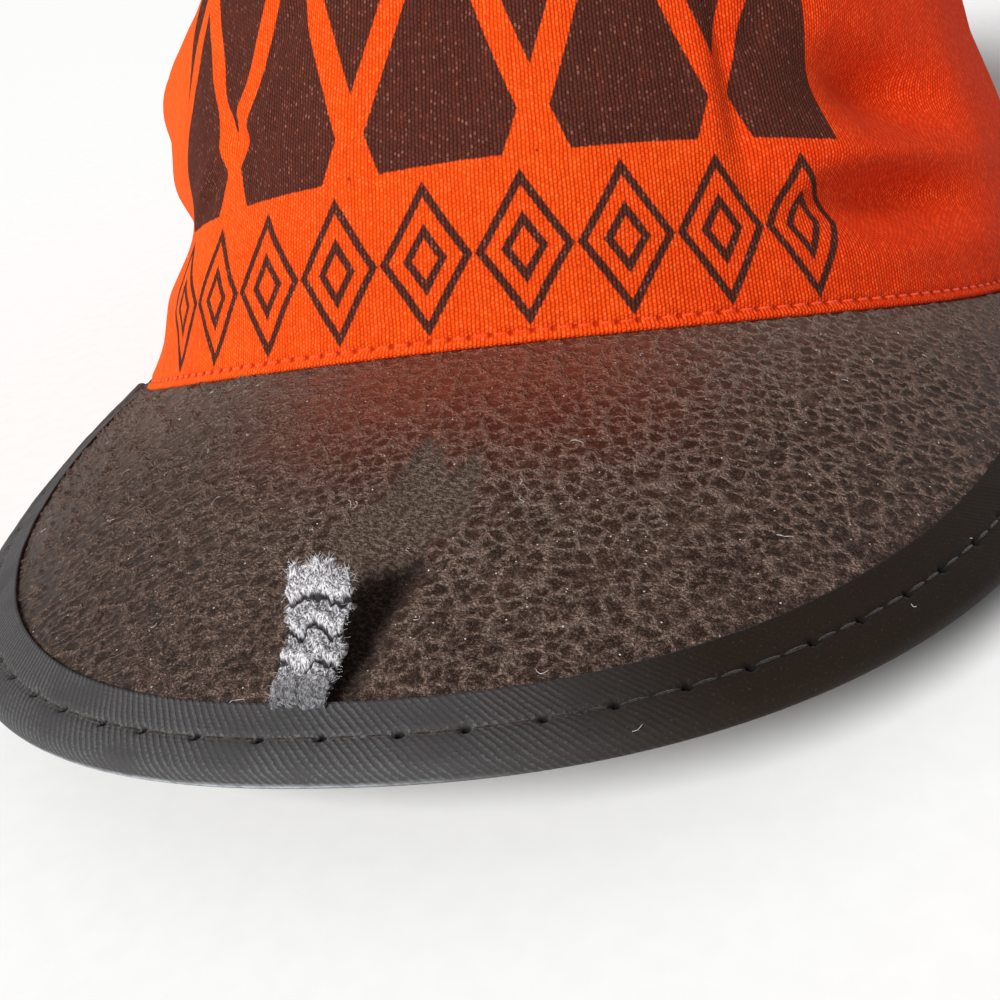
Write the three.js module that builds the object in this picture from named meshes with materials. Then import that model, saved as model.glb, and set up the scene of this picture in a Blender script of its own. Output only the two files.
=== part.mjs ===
// Painter cap: a tall, soft cotton crown over an arched visor with a bound edge.
// Millimetres, +Z up. The visor points to -Y and the crown stands on its hem at Z = 0.
import * as THREE from 'three';
import { mergeVertices } from 'three/addons/utils/BufferGeometryUtils.js';

// Crown
const hemHalfWidth = 82;
const hemHalfLength = 105;
const clothThickness = 1.3;
const hemThickness = 2;
const hemDepth = 9;
const crownHeight = 98;
const frontRise = 6;
const topRollDepth = 5;
const topRollHeight = 9;
const topSag = 5;

// Visor
const seamHalfAngle = 72;
const seamEndHeight = 3.3;
// Shares of the seam's half angle between which the hem comes down to the table behind the visor
const hemDropStart = 1.02;
const hemDropEnd = 1.08;
const archHeight = 24;
const visorHalfWidth = 79;
const visorReach = 59.5;
const visorSquareness = 2.26;
const visorCornerLead = 2.2;
const visorTipHeight = 13.4;
const visorEndHeight = 2.15;
const edgeArchPower = 2.2;
const visorCrown = 1.2;
const visorThickness = 1.6;
const seamAllowance = 6;

// Edge binding, folded round the visor's rim
const tapeThickness = 1;
const tapeWidth = 7.2;
const tapeEndWidth = 4;

// Torn strip of the visor's covering, still held at the binding
const flapWidth = 6;
const flapLength = 12;
const flapThickness = 1.1;
const flapRootX = -2.5;
const flapLift = 6;
const flapTurn = -1;

// Sewn or stacked pieces lie this far apart
const gap = 0.3;

// How far the wall stands inside the hem's outline at each rise above the hem, and how far
// the whole crown has slumped over to +X there
const wallSections = [
  { rise: 0, side: 0, front: 0, back: 0, slump: 0 },
  { rise: 20, side: 6.5, front: 4.5, back: 1, slump: 2.2 },
  { rise: 42, side: 14, front: 19, back: 3, slump: 3 },
  { rise: 65, side: 16, front: 31, back: 5, slump: 4.5 },
  { rise: 100, side: 14, front: 40, back: 9, slump: 5 },
];

// Buckles and dents of the wall, by their middle's rise above the hem and how far they spread.
// Degrees go round from the front, + towards +X; depth is out of the wall, - where it is pushed in
const wallFolds = [
  { degrees: -66, rise: 26, spread: 30, tall: 7, depth: -6, slant: 0 },
  { degrees: -70, rise: 46, spread: 26, tall: 8, depth: 1.5, slant: 0 },
  { degrees: -66, rise: 68, spread: 30, tall: 13, depth: -8, slant: 0 },
  { degrees: 50, rise: 10, spread: 13, tall: 5, depth: -2.5, slant: 0.1 },
  { degrees: 46, rise: 24, spread: 12, tall: 5, depth: -2.5, slant: 0 },
  { degrees: 28, rise: 25, spread: 5, tall: 14, depth: -1, slant: 0 },
  { degrees: 120, rise: 48, spread: 26, tall: 12, depth: -4, slant: 0.1 },
  { degrees: 178, rise: 40, spread: 30, tall: 14, depth: -3, slant: 0 },
];

const wallSegments = 88;
const wallRows = 13;
const topRings = 5;
// Radii that tell the two skins of the lathed wall apart before it is shaped
const outerSkin = 2;
const innerSkin = 1;
const visorColumns = 52;
const visorRows = 9;
const tapeSteps = 64;
const flapRows = 10;

// The board's rim stands this far inside the tape's outer face
const rimInset = tapeThickness + 1.5 * gap;
// Half of the board's thickness, upright, where the board slopes
const boardHalf = visorThickness * 0.58;

const radians = Math.PI / 180;
// The middle of the cap's length comes to the origin
const lengthShift = visorReach / 2;

const mix = (a, b, k) => a + (b - a) * k;

const clamp = (value, low, high) => Math.min(high, Math.max(low, value));

function smooth(low, high, value) {
  const k = clamp((value - low) / (high - low), 0, 1);
  return k * k * (3 - 2 * k);
}

// Height of the crown's lower edge, which climbs over the visor at the front
function hemHeight(angle) {
  const turn = Math.abs(angle) / (seamHalfAngle * radians);
  const arch = archHeight * Math.max(0, 1 - turn * turn) ** 1.5;
  return arch + seamEndHeight * smooth(hemDropEnd, hemDropStart, turn);
}

// One column of the section table at a rise, on a smooth curve through its rows
function inset(column, rise) {
  const rows = wallSections;
  const last = rows.length - 1;
  let i = 0;
  while (i < last - 1 && rise > rows[i + 1].rise) {
    i += 1;
  }
  const slope = (j) => {
    const before = rows[Math.max(0, j - 1)];
    const after = rows[Math.min(last, j + 1)];
    return (after[column] - before[column]) / (after.rise - before.rise);
  };
  const span = rows[i + 1].rise - rows[i].rise;
  const k = clamp((rise - rows[i].rise) / span, 0, 1);
  const rest = 1 - k;
  return rows[i][column] * rest * rest * (1 + 2 * k)
    + rows[i + 1][column] * k * k * (1 + 2 * rest)
    + slope(i) * span * k * rest * rest
    - slope(i + 1) * span * k * k * rest;
}

function foldDepth(angle, rise) {
  let depth = 0;
  for (const fold of wallFolds) {
    const turn = angle - fold.degrees * radians;
    const round = Math.atan2(Math.sin(turn), Math.cos(turn)) / radians;
    const across = round / fold.spread;
    const up = (rise - fold.rise - fold.slant * round) / fold.tall;
    depth += fold.depth * Math.exp(-across * across - up * up);
  }
  return depth * smooth(0, 12, rise);
}

// A point of the crown's wall; inward is its depth under the outer face
function wallPoint(angle, height, inward) {
  const rise = height - hemHeight(angle);
  const halfWidth = hemHalfWidth - inset('side', rise);
  const halfLength = hemHalfLength - inset(Math.cos(angle) > 0 ? 'front' : 'back', rise);
  const outward = new THREE.Vector3(Math.sin(angle) / halfWidth, -Math.cos(angle) / halfLength, 0).normalize();
  const point = new THREE.Vector3(halfWidth * Math.sin(angle), -halfLength * Math.cos(angle), height);
  point.x += inset('slump', rise);
  return point.addScaledVector(outward, foldDepth(angle, rise) - inward);
}

function crownTopHeight(angle) {
  return crownHeight + frontRise * (0.5 + 0.5 * Math.cos(angle));
}

// Front half of the hem's outline in plan, as the visor's seam
function seamY(x) {
  return -hemHalfLength * Math.sqrt(Math.max(0, 1 - (x / hemHalfWidth) ** 2));
}

const visorRootY = -hemHalfLength * Math.cos(seamHalfAngle * radians) - visorCornerLead;
const visorTipY = -hemHalfLength - visorReach;

// The visor's outer edge in plan, for turn from -1 at one corner to 1 at the other
function edgePlan(turn) {
  const angle = turn * Math.PI / 2;
  const side = Math.sign(turn) * Math.abs(Math.sin(angle)) ** (2 / visorSquareness);
  const forward = Math.abs(Math.cos(angle)) ** (2 / visorSquareness);
  return new THREE.Vector2(visorHalfWidth * side, mix(visorRootY, visorTipY, forward));
}

function edgeY(x) {
  const side = Math.min(1, Math.abs(x) / visorHalfWidth);
  return mix(visorRootY, visorTipY, (1 - side ** visorSquareness) ** (1 / visorSquareness));
}

// Height of the middle of the visor's board over a point in plan
function boardHeight(x, y) {
  const across = clamp(x, -visorHalfWidth, visorHalfWidth);
  const back = seamY(across);
  const front = edgeY(across);
  const along = clamp((back - y) / (back - front), 0, 1);
  const hem = hemHeight(Math.asin(across / hemHalfWidth));
  const root = Math.max(hem - gap - boardHalf, visorEndHeight);
  const share = (Math.abs(across) / visorHalfWidth) ** edgeArchPower;
  const edge = mix(visorTipHeight, visorEndHeight, share);
  return mix(root, edge, along) + visorCrown * 4 * along * (1 - along) * smooth(4, 30, back - front);
}

function boardNormal(x, y) {
  const step = 0.5;
  const slopeX = (boardHeight(x + step, y) - boardHeight(x - step, y)) / (2 * step);
  const slopeY = (boardHeight(x, y + step) - boardHeight(x, y - step)) / (2 * step);
  return new THREE.Vector3(-slopeX, -slopeY, 1).normalize();
}

function boardPoint(x, y, offset) {
  return new THREE.Vector3(x, y, boardHeight(x, y)).addScaledVector(boardNormal(x, y), offset);
}

// The edge's direction into the board, in plan
function edgeInward(turn) {
  const a = edgePlan(turn - 0.002);
  const b = edgePlan(turn + 0.002);
  return new THREE.Vector2(-(b.y - a.y), b.x - a.x).normalize();
}

// Moves every corner of a closed primitive to its place on the cap
function reshape(geometry, place) {
  geometry.deleteAttribute('normal');
  geometry.deleteAttribute('uv');
  const merged = mergeVertices(geometry, 1e-5);
  const corner = new THREE.Vector3();
  const position = merged.getAttribute('position');
  for (let i = 0; i < position.count; i += 1) {
    corner.fromBufferAttribute(position, i);
    const moved = place(corner);
    position.setXYZ(i, moved.x, moved.y + lengthShift, moved.z);
  }
  const kept = [];
  const index = merged.getIndex();
  for (let i = 0; i < index.count; i += 3) {
    const face = [index.getX(i), index.getX(i + 1), index.getX(i + 2)];
    if (new Set(face).size === 3) {
      kept.push(...face);
    }
  }
  merged.setIndex(kept);
  merged.computeVertexNormals();
  return merged;
}

// The wall: a lathed ring of two skins, whose rows rise from the hem to the top seam
function crownBandGeometry() {
  const profile = [];
  for (let row = 0; row <= wallRows; row += 1) {
    profile.push(new THREE.Vector2(outerSkin, row));
  }
  for (let row = wallRows; row >= 0; row -= 1) {
    profile.push(new THREE.Vector2(innerSkin, row));
  }
  profile.push(profile[0].clone());
  return reshape(new THREE.LatheGeometry(profile, wallSegments), (corner) => {
    const angle = Math.atan2(corner.x, corner.z);
    const inner = Math.hypot(corner.x, corner.z) < (innerSkin + outerSkin) / 2;
    const bottom = hemHeight(angle);
    const top = crownTopHeight(angle);
    const height = mix(bottom, top, (corner.y / wallRows) ** 1.1);
    const thick = mix(hemThickness, clothThickness, smooth(hemDepth * 0.6, hemDepth, height - bottom));
    const roll = topRollDepth * smooth(top - topRollHeight, top, height) ** 2;
    return wallPoint(angle, height, roll + (inner ? thick : 0));
  });
}

// The oval top panel, sewn inside the wall's upper edge and sunk a little in the middle
function crownTopGeometry() {
  const profile = [];
  for (let ring = 0; ring <= topRings; ring += 1) {
    profile.push(new THREE.Vector2(ring / topRings, 0));
  }
  for (let ring = topRings; ring >= 0; ring -= 1) {
    profile.push(new THREE.Vector2(ring / topRings, 1));
  }
  const rimPoint = (angle) => wallPoint(angle, crownTopHeight(angle), topRollDepth + clothThickness + gap);
  const centre = rimPoint(0).add(rimPoint(Math.PI)).multiplyScalar(0.5);
  return reshape(new THREE.LatheGeometry(profile, wallSegments), (corner) => {
    const angle = Math.atan2(corner.x, corner.z);
    const share = Math.hypot(corner.x, corner.z);
    const rim = rimPoint(angle);
    const point = centre.clone().lerp(rim, share);
    point.z = mix(centre.z - topSag, rim.z, share ** 2.5);
    point.z -= corner.y > 0.5 ? 0 : clothThickness;
    return point;
  });
}

// The board: a slab whose back edge runs on inside the crown as the seam allowance
function visorGeometry() {
  const slab = new THREE.BoxGeometry(2, visorRows, visorThickness, visorColumns, visorRows, 1);
  return reshape(slab, (corner) => {
    const row = visorRows / 2 - corner.y;
    const angle = corner.x * seamHalfAngle * radians;
    const seam = new THREE.Vector2(hemHalfWidth * Math.sin(angle), -hemHalfLength * Math.cos(angle));
    if (row < 1) {
      const inward = new THREE.Vector3(-Math.sin(angle) / hemHalfWidth, Math.cos(angle) / hemHalfLength, 0);
      return boardPoint(seam.x, seam.y, corner.z).addScaledVector(inward.normalize(), seamAllowance);
    }
    const rim = edgePlan(corner.x).addScaledVector(edgeInward(clamp(corner.x, -0.99, 0.99)), rimInset);
    rim.y = Math.min(rim.y, seam.y);
    const plan = seam.lerp(rim, (row - 1) / (visorRows - 1));
    return boardPoint(plan.x, plan.y, corner.z);
  });
}

// Room between the visor's edge and the crown, which narrows the tape at the corners
function tapeRoom(turn) {
  const edge = edgePlan(turn);
  const radius = Math.hypot(edge.x / hemHalfWidth, edge.y / hemHalfLength);
  return (radius - 1) * hemHalfWidth * 0.97 - gap;
}

// The tape: a U section round the rim, swept from corner to corner
function bindingGeometry() {
  const inside = visorThickness / 2 + gap;
  const outside = inside + tapeThickness;
  const section = new THREE.Shape();
  section.moveTo(tapeWidth, outside);
  section.lineTo(tapeThickness, outside);
  section.lineTo(0, inside * 0.6);
  section.lineTo(0, -inside * 0.6);
  section.lineTo(tapeThickness, -outside);
  section.lineTo(tapeWidth, -outside);
  section.lineTo(tapeWidth, -inside);
  section.lineTo(tapeWidth / 2, -inside);
  section.lineTo(tapeThickness, -inside);
  section.lineTo(tapeThickness, inside);
  section.lineTo(tapeWidth / 2, inside);
  section.lineTo(tapeWidth, inside);
  const swept = new THREE.ExtrudeGeometry(section, { depth: 2, steps: tapeSteps, bevelEnabled: false });
  let end = 1;
  while (tapeRoom(end) < tapeEndWidth) {
    end -= 0.002;
  }
  return reshape(swept, (corner) => {
    const turn = (corner.z - 1) * end;
    const squeeze = Math.min(1, tapeRoom(turn) / tapeWidth);
    const reach = corner.x > tapeThickness ? corner.x * squeeze : corner.x;
    const plan = edgePlan(turn).addScaledVector(edgeInward(turn), reach);
    return boardPoint(plan.x, plan.y, corner.y);
  });
}

// The torn strip, curling up from its root at the tape
function flapGeometry() {
  const strip = new THREE.BoxGeometry(flapWidth, 1, flapThickness, 4, flapRows, 1);
  const rootY = edgeY(flapRootX) + tapeWidth + 2 * gap;
  return reshape(strip, (corner) => {
    const along = corner.y + 0.5;
    const narrow = 1 - 0.25 * along ** 2;
    const turn = flapTurn * radians;
    const x = flapRootX + corner.x * narrow * Math.cos(turn) + along * flapLength * 0.9 * Math.sin(turn);
    const y = rootY - corner.x * narrow * Math.sin(turn) + along * flapLength * 0.9 * Math.cos(turn);
    const lift = flapLift * along ** 1.5 + 0.5 * Math.cos(corner.x * 0.9) * along;
    const seat = visorThickness / 2 + gap + flapThickness / 2;
    return boardPoint(x, y, seat + corner.z + lift);
  });
}

const orangeCotton = new THREE.MeshStandardMaterial({ color: '#e2491c', roughness: 0.9, metalness: 0 });
const blackVinyl = new THREE.MeshStandardMaterial({ color: '#473a33', roughness: 0.5, metalness: 0 });
const blackTape = new THREE.MeshStandardMaterial({ color: '#2e2b2b', roughness: 0.85, metalness: 0 });
const greyBacking = new THREE.MeshStandardMaterial({ color: '#9c9799', roughness: 0.95, metalness: 0 });

const pieces = [
  { name: 'crown_band', geometry: crownBandGeometry(), material: orangeCotton },
  { name: 'crown_top', geometry: crownTopGeometry(), material: orangeCotton },
  { name: 'visor', geometry: visorGeometry(), material: blackVinyl },
  { name: 'visor_binding', geometry: bindingGeometry(), material: blackTape },
  { name: 'torn_flap', geometry: flapGeometry(), material: greyBacking },
];

const cap = new THREE.Group();
for (const piece of pieces) {
  const mesh = new THREE.Mesh(piece.geometry, piece.material);
  mesh.name = piece.name;
  cap.add(mesh);
}

export default cap;
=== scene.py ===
import bisect
import math
import random

import bmesh
import bpy
from mathutils import Matrix, Vector, noise


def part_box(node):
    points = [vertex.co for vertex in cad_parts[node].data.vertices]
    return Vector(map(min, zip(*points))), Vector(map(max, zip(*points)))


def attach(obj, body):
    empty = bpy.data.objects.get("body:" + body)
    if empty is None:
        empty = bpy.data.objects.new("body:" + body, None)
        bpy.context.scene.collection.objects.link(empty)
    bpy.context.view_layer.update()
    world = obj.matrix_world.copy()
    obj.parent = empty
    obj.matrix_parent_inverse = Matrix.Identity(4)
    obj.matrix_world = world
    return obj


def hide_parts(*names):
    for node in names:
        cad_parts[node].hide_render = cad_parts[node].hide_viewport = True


# Painter cap: a soft orange crown over an arched, grained visor with a bound edge.
# Sizes below are millimetres, with the visor towards -Y and the hem on the floor.
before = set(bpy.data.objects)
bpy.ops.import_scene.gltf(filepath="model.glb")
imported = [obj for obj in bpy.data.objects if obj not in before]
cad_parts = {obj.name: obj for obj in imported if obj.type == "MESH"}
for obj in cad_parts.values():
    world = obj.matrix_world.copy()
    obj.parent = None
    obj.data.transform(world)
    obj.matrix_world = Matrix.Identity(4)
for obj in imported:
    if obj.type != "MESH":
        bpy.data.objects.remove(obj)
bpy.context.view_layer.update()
mm = 0.001
mergeGap = 0.005 * mm  # corners closer than this become one
crownLow, crownHigh = (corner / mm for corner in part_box("crown_band"))
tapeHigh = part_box("visor_binding")[1] / mm


def mix(a, b, share):
    return a + (b - a) * share


def clamp(value, low=0.0, high=1.0):
    return min(high, max(low, value))


def smooth(low, high, value):
    k = clamp((value - low) / (high - low))
    return k * k * (3 - 2 * k)


def eased(across, straight):
    # from -1 to 1 as across goes from 0 to 1, with the closest steps in the middle
    swing = 2 * across - 1
    return straight * swing + (1 - straight) * swing ** 3


def bump(value, middle, spread):
    return math.exp(-((value - middle) / spread) ** 2)


def spot(x, y, size, seed):
    # smooth noise from -1 to 1, with lumps about one size across
    return noise.noise(Vector((x / size + seed, y / size - seed, 0.5 * seed)))


def lumps(x, y, *layers):
    # layers of that noise, each given as its height, the size of its lumps and its seed
    return sum(height * spot(x, y, size, seed) for height, size, seed in layers)


# The crown's wall
crown = {
    "halfWidth": (crownHigh.x - crownLow.x) / 2,
    "halfLength": (crownHigh.y - crownLow.y) / 2,
    "frontTop": crownHigh.z,
    "frontRise": 6,
    "topRoll": 5,  # how far the wall turns in at the top seam
    "topRollHeight": 9,
    "topSag": 5,
    "clothThickness": 1.1,
    "archHeight": 24,  # of the hem over the visor
    "seamDegrees": 72,  # half of the visor's seam
    "seamEndHeight": 3.3,
    "hemDrop": (1.02, 1.08),  # shares of the seam's angle, where the hem comes down to the floor
    "hemSink": 0.45,  # so that the hem lies on the visor
    "stitchRise": 1.5,
    "stitchPitch": 2.5,
    "stitchEnds": (0.12, 0.9),  # shares of the pitch
    "threadThickness": 0.34,
    "threadLift": 0.06,
    "wrinkle": 0.55,  # depths of the cloth's own waves
    "fineWrinkle": 0.2,
    "ripple": 0.07,
    "pucker": 0.09,
    "gather": 0.45,
    "hemPuff": 0.5,
    "edgeRoll": 0.25,
    "stitchGroove": 0.22,
    "backSeam": 0.5,
    "topClearance": 0.1,
    "topWaves": ((0.9, 26, 2.2), (0.25, 8, 4.4)),
    "grid": (460, 96),
    "topGrid": (110, 110),
}

middleY = crownHigh.y - crown["halfLength"]  # centre of the hem's oval
seamAngle = math.radians(crown["seamDegrees"])

# How far the wall stands inside the hem's oval at each rise, and how far it has slumped to +X
wallSections = {
    "rise": (0, 20, 42, 65, 100),
    "side": (0, 6.5, 14, 16, 14),
    "front": (0, 4.5, 19, 31, 40),
    "back": (0, 1, 3, 5, 9),
    "slump": (0, 2.2, 3, 4.5, 5),
}

# Dents and buckles, each given as degrees round from the front, rise above the hem, spread in
# degrees, tallness, depth (- is pushed in) and slant, the rise gained for each degree
wallFolds = [
    (-66, 2.5, 30, 9.3, -4.8, 0),
    (-66, 21.4, 30, 6.8, -7.7, 0),
    (-70, 47.8, 26, 9.5, 9.3, 0),
    (-66, 64, 30, 18, -16.2, 0),
    (44, 13.2, 10.5, 4, -6.6, 0.05),
    (46, 19.6, 12, 2.4, 1.8, 0.03),
    (46, 26.5, 9.5, 5, -8, -0.05),
    (28, 25, 5, 14, -1, 0),
    (120, 48, 26, 12, -4, 0.1),
    (178, 40, 30, 14, -3, 0),
]

# Sharper creases that only the cloth has, in the same order
wallCreases = [
    (-23.5, 28, 5, 2, -0.95, -0.89),
    (-24, 31.5, 6, 2.2, 0.7, -0.89),
    (-33, 22.5, 5, 1.6, -0.9, 0.5),
    (-31, 26, 5, 2, 0.7, 0.5),
    (-44, 9, 4, 1.3, -0.8, 0.4),
    (-15, 40, 5, 2.4, -0.9, 0.9),
    (-10, 24, 3, 9, 0.5, 0.4),
    (5, 40, 3.5, 10, -0.9, 0.6),
    (24, 28, 1.7, 9, 0.8, 0),
    (26.7, 26, 1.3, 9, -1.1, 0),
    (29.8, 31.5, 1.7, 2.2, -1.2, 0.3),
    (32, 15.5, 2.2, 2, 0.8, 0.3),
]


def hemHeight(angle):
    turn = abs(angle) / seamAngle
    arch = crown["archHeight"] * max(0.0, 1 - turn * turn) ** 1.5
    return arch + crown["seamEndHeight"] * (1 - smooth(*crown["hemDrop"], turn))


def inset(column, rise):
    # a smooth curve through the column's values
    rises, insets = wallSections["rise"], wallSections[column]
    last = len(rises) - 1
    i = 0
    while i < last - 1 and rise > rises[i + 1]:
        i += 1

    def slope(j):
        before, after = max(0, j - 1), min(last, j + 1)
        return (insets[after] - insets[before]) / (rises[after] - rises[before])

    span = rises[i + 1] - rises[i]
    k = clamp((rise - rises[i]) / span)
    rest = 1 - k
    return (insets[i] * rest * rest * (1 + 2 * k)
            + insets[i + 1] * k * k * (1 + 2 * rest)
            + slope(i) * span * k * rest * rest
            - slope(i + 1) * span * k * k * rest)


def foldDepth(angle, rise, folds):
    total = 0.0
    for degrees, middle, spread, tall, depth, slant in folds:
        turn = angle - math.radians(degrees)
        away = math.degrees(math.atan2(math.sin(turn), math.cos(turn)))
        up = (rise - middle - slant * away) / tall
        total += depth * math.exp(-(away / spread) ** 2 - up * up)
    return total


def wallPoint(angle, height, outwards=0.0):
    rise = height - hemHeight(angle)
    halfWidth = crown["halfWidth"] - inset("side", rise)
    halfLength = crown["halfLength"] - inset("front" if math.cos(angle) > 0 else "back", rise)
    outward = Vector((math.sin(angle) / halfWidth, -math.cos(angle) / halfLength, 0)).normalized()
    point = Vector((halfWidth * math.sin(angle) + inset("slump", rise),
                    middleY - halfLength * math.cos(angle), height))
    depth = foldDepth(angle, rise, wallFolds) * smooth(0, 12, rise)
    return point + outward * (depth + outwards)


def crownTopHeight(angle):
    return crown["frontTop"] - crown["frontRise"] * (0.5 - 0.5 * math.cos(angle))


def ovalPoint(angle):
    return crown["halfWidth"] * math.sin(angle), middleY - crown["halfLength"] * math.cos(angle)


def runningLengths(steps, place):
    # how far along a line each of its steps lies
    lengths = [0.0]
    for before, after in zip(steps, steps[1:]):
        lengths.append(lengths[-1] + math.dist(place(before), place(after)))
    return lengths


# Lengths along the hem's oval, to space stitches and cloth evenly
hemSteps = [math.radians(step / 2 - 180) for step in range(721)]
hemLengths = runningLengths(hemSteps, ovalPoint)
hemHalf = hemLengths[-1] / 2
stitchCount = round(2 * hemHalf / crown["stitchPitch"])


def lookUp(value, known, wanted):
    # straight line between the two nearest entries of a sorted list
    i = int(clamp(bisect.bisect_right(known, value), 1, len(known) - 1))
    return mix(wanted[i - 1], wanted[i], (value - known[i - 1]) / (known[i] - known[i - 1]))


def hemLength(angle):
    return lookUp(angle, hemSteps, hemLengths) - hemHalf


def hemAngle(length):
    return lookUp(length + hemHalf, hemLengths, hemSteps)


def clothWave(angle, rise, top):
    # soft handling wrinkles, puckers above the stitch line and gathers under the top seam
    around = hemLength(angle)
    high = top - rise
    quiet = smooth(0, 9, rise)
    wave = crown["wrinkle"] * spot(around, rise * 0.55, 17, 3.1) * quiet
    wave += crown["fineWrinkle"] * spot(around, rise, 6.5, 8.4) * quiet
    wave += crown["ripple"] * spot(around, rise, 2.4, 5.2)
    pucker = math.sin(math.pi * around / crown["stitchPitch"] + 2 * spot(around, 0, 9, 1.7))
    wave += crown["pucker"] * pucker * bump(rise, crown["stitchRise"] + 1.3, 1.5)
    wave += crown["gather"] * math.sin(around / 1.7 + 2.5 * spot(around, 0, 20, 6.6)) * bump(high, 3, 7)
    return wave + foldDepth(angle, rise, wallCreases)


def hemRoll(rise):
    # the turned edge below the stitch line is puffed, and the stitches pull a groove
    line = crown["stitchRise"]
    if rise < line:
        puff = crown["hemPuff"] * math.sin(math.pi * clamp(rise / line))
    else:
        puff = 0.1 * bump(rise, line + 1.1, 0.8)
    groove = crown["stitchGroove"] * bump(rise, line, 0.28)
    return puff - groove - crown["edgeRoll"] * bump(rise, 0, 0.25)


# Sheets start as a flat grid from 0 to 1, whose corners are then put in place
def newSheet(name, grid, place, pattern, marks=None):
    sheet = bmesh.new()
    uvLayer = sheet.loops.layers.uv.new("UVMap")
    layers = {mark: sheet.verts.layers.float.new(mark) for mark in marks or {}}
    bmesh.ops.create_grid(sheet, x_segments=grid[0], y_segments=grid[1], size=0.5,
                          matrix=Matrix.Translation((0.5, 0.5, 0)))
    for vert in sheet.verts:
        across, up = vert.co.xy
        flat = pattern(across, up)
        for loop in vert.link_loops:
            loop[uvLayer].uv = flat
        for mark, layer in layers.items():
            vert[layer] = marks[mark](across, up)
        vert.co = place(across, up) * mm
    bmesh.ops.remove_doubles(sheet, verts=sheet.verts, dist=mergeGap)
    return newPiece(name, sheet)


def newPiece(name, shape):
    mesh = bpy.data.meshes.new(name)
    for face in shape.faces:
        face.smooth = True
    shape.to_mesh(mesh)
    shape.free()
    return addObject(name, mesh)


def addObject(name, data):
    made = bpy.data.objects.new(name, data)
    bpy.context.scene.collection.objects.link(made)
    return made


def thicken(piece, thickness, innerGroup=""):
    # gives the sheet its back, towards the inside
    if innerGroup:
        piece.vertex_groups.new(name=innerGroup)
    wall = piece.modifiers.new("cloth", "SOLIDIFY")
    wall.thickness = thickness * mm
    wall.offset = -1
    wall.shell_vertex_group = innerGroup


def applyModifiers(piece):
    graph = bpy.context.evaluated_depsgraph_get()
    shaped = bpy.data.meshes.new_from_object(piece.evaluated_get(graph), depsgraph=graph,
                                             preserve_all_data_layers=True)
    piece.modifiers.clear()
    piece.data = shaped


def settle(piece, material, slot, *nodes):
    # finishes a piece: its shape and material, the body it rides on and the CAD nodes it stands for
    if piece.modifiers:
        applyModifiers(piece)
    piece.data.materials.clear()
    piece.data.materials.append(material)
    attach(piece, "root")
    if nodes:
        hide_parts(*nodes)
    print(piece.name, len(piece.data.polygons), "faces")


# Short ways to wire nodes, in materials and in Geometry Nodes alike
def addNode(tree, kind, inputs=None, **settings):
    made = tree.nodes.new(kind)
    for setting, value in settings.items():
        setattr(made, setting, value)
    for socket, value in (inputs or {}).items():
        if isinstance(value, bpy.types.NodeSocket):
            tree.links.new(value, made.inputs[socket])
        else:
            made.inputs[socket].default_value = value
    return made


def calc(tree, operation, *values):
    return addNode(tree, "ShaderNodeMath", dict(enumerate(values)), operation=operation).outputs[0]


def times(tree, product, *others):
    for other in others:
        product = calc(tree, "MULTIPLY", product, other)
    return product


def apart(tree, first, second):
    return calc(tree, "ABSOLUTE", calc(tree, "SUBTRACT", first, second))


def ramp(tree, value, low, high, start=0.0, end=1.0):
    sockets = {"Value": value, "From Min": low, "From Max": high, "To Min": start, "To Max": end}
    return addNode(tree, "ShaderNodeMapRange", sockets, interpolation_type="SMOOTHSTEP").outputs[0]


def blend(tree, share, first, second):
    return addNode(tree, "ShaderNodeMix", {0: share, 2: first, 3: second}, data_type="FLOAT").outputs[0]


def painted(tree, colour, *coats):
    # lays coats over a colour, each given as its share, its colour and perhaps a blend type
    for share, over, *mode in coats:
        colour = addNode(tree, "ShaderNodeMix", {0: share, 6: colour, 7: over}, data_type="RGBA",
                         blend_type=mode[0] if mode else "MIX").outputs[2]
    return colour


def noiseField(tree, place, scale, detail=2.0, roughness=0.5):
    sockets = {"Vector": place, "Scale": scale, "Detail": detail, "Roughness": roughness}
    return addNode(tree, "ShaderNodeTexNoise", sockets).outputs[0]


def voronoi(tree, place, scale=1.0, feature="F1"):
    return addNode(tree, "ShaderNodeTexVoronoi", {"Vector": place, "Scale": scale},
                   feature=feature, voronoi_dimensions="2D").outputs


def moved(tree, operation, *vectors):
    return addNode(tree, "ShaderNodeVectorMath", dict(enumerate(vectors)), operation=operation).outputs[0]


def scaled(tree, place, x, y, z=1.0, turn=0.0):
    turned = addNode(tree, "ShaderNodeVectorRotate", {"Vector": place, "Angle": turn},
                     rotation_type="Z_AXIS").outputs[0]
    return moved(tree, "MULTIPLY", turned, (x, y, z))


def warped(tree, place, scale, amount):
    field = addNode(tree, "ShaderNodeTexNoise", {"Vector": place, "Scale": scale, "Detail": 1.0})
    offset = moved(tree, "SUBTRACT", field.outputs[1], (0.5, 0.5, 0.5))
    return moved(tree, "MULTIPLY_ADD", offset, (amount, amount, amount), place)


def split(tree, place):
    return addNode(tree, "ShaderNodeSeparateXYZ", {0: place}).outputs[:2]


def sheetPlace(tree):
    return addNode(tree, "ShaderNodeUVMap", uv_map="UVMap").outputs[0]


def readMarks(tree, *names):
    # the shares that newSheet stored on the corners
    return [addNode(tree, "ShaderNodeAttribute", attribute_name=name).outputs["Fac"] for name in names]


def newMaterial(name, **constants):
    material = bpy.data.materials.new(name)
    material.use_nodes = True
    shader = material.node_tree.nodes["Principled BSDF"]
    for socket, value in constants.items():
        shader.inputs[socket.replace("_", " ")].default_value = value
    return material, material.node_tree, shader


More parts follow.
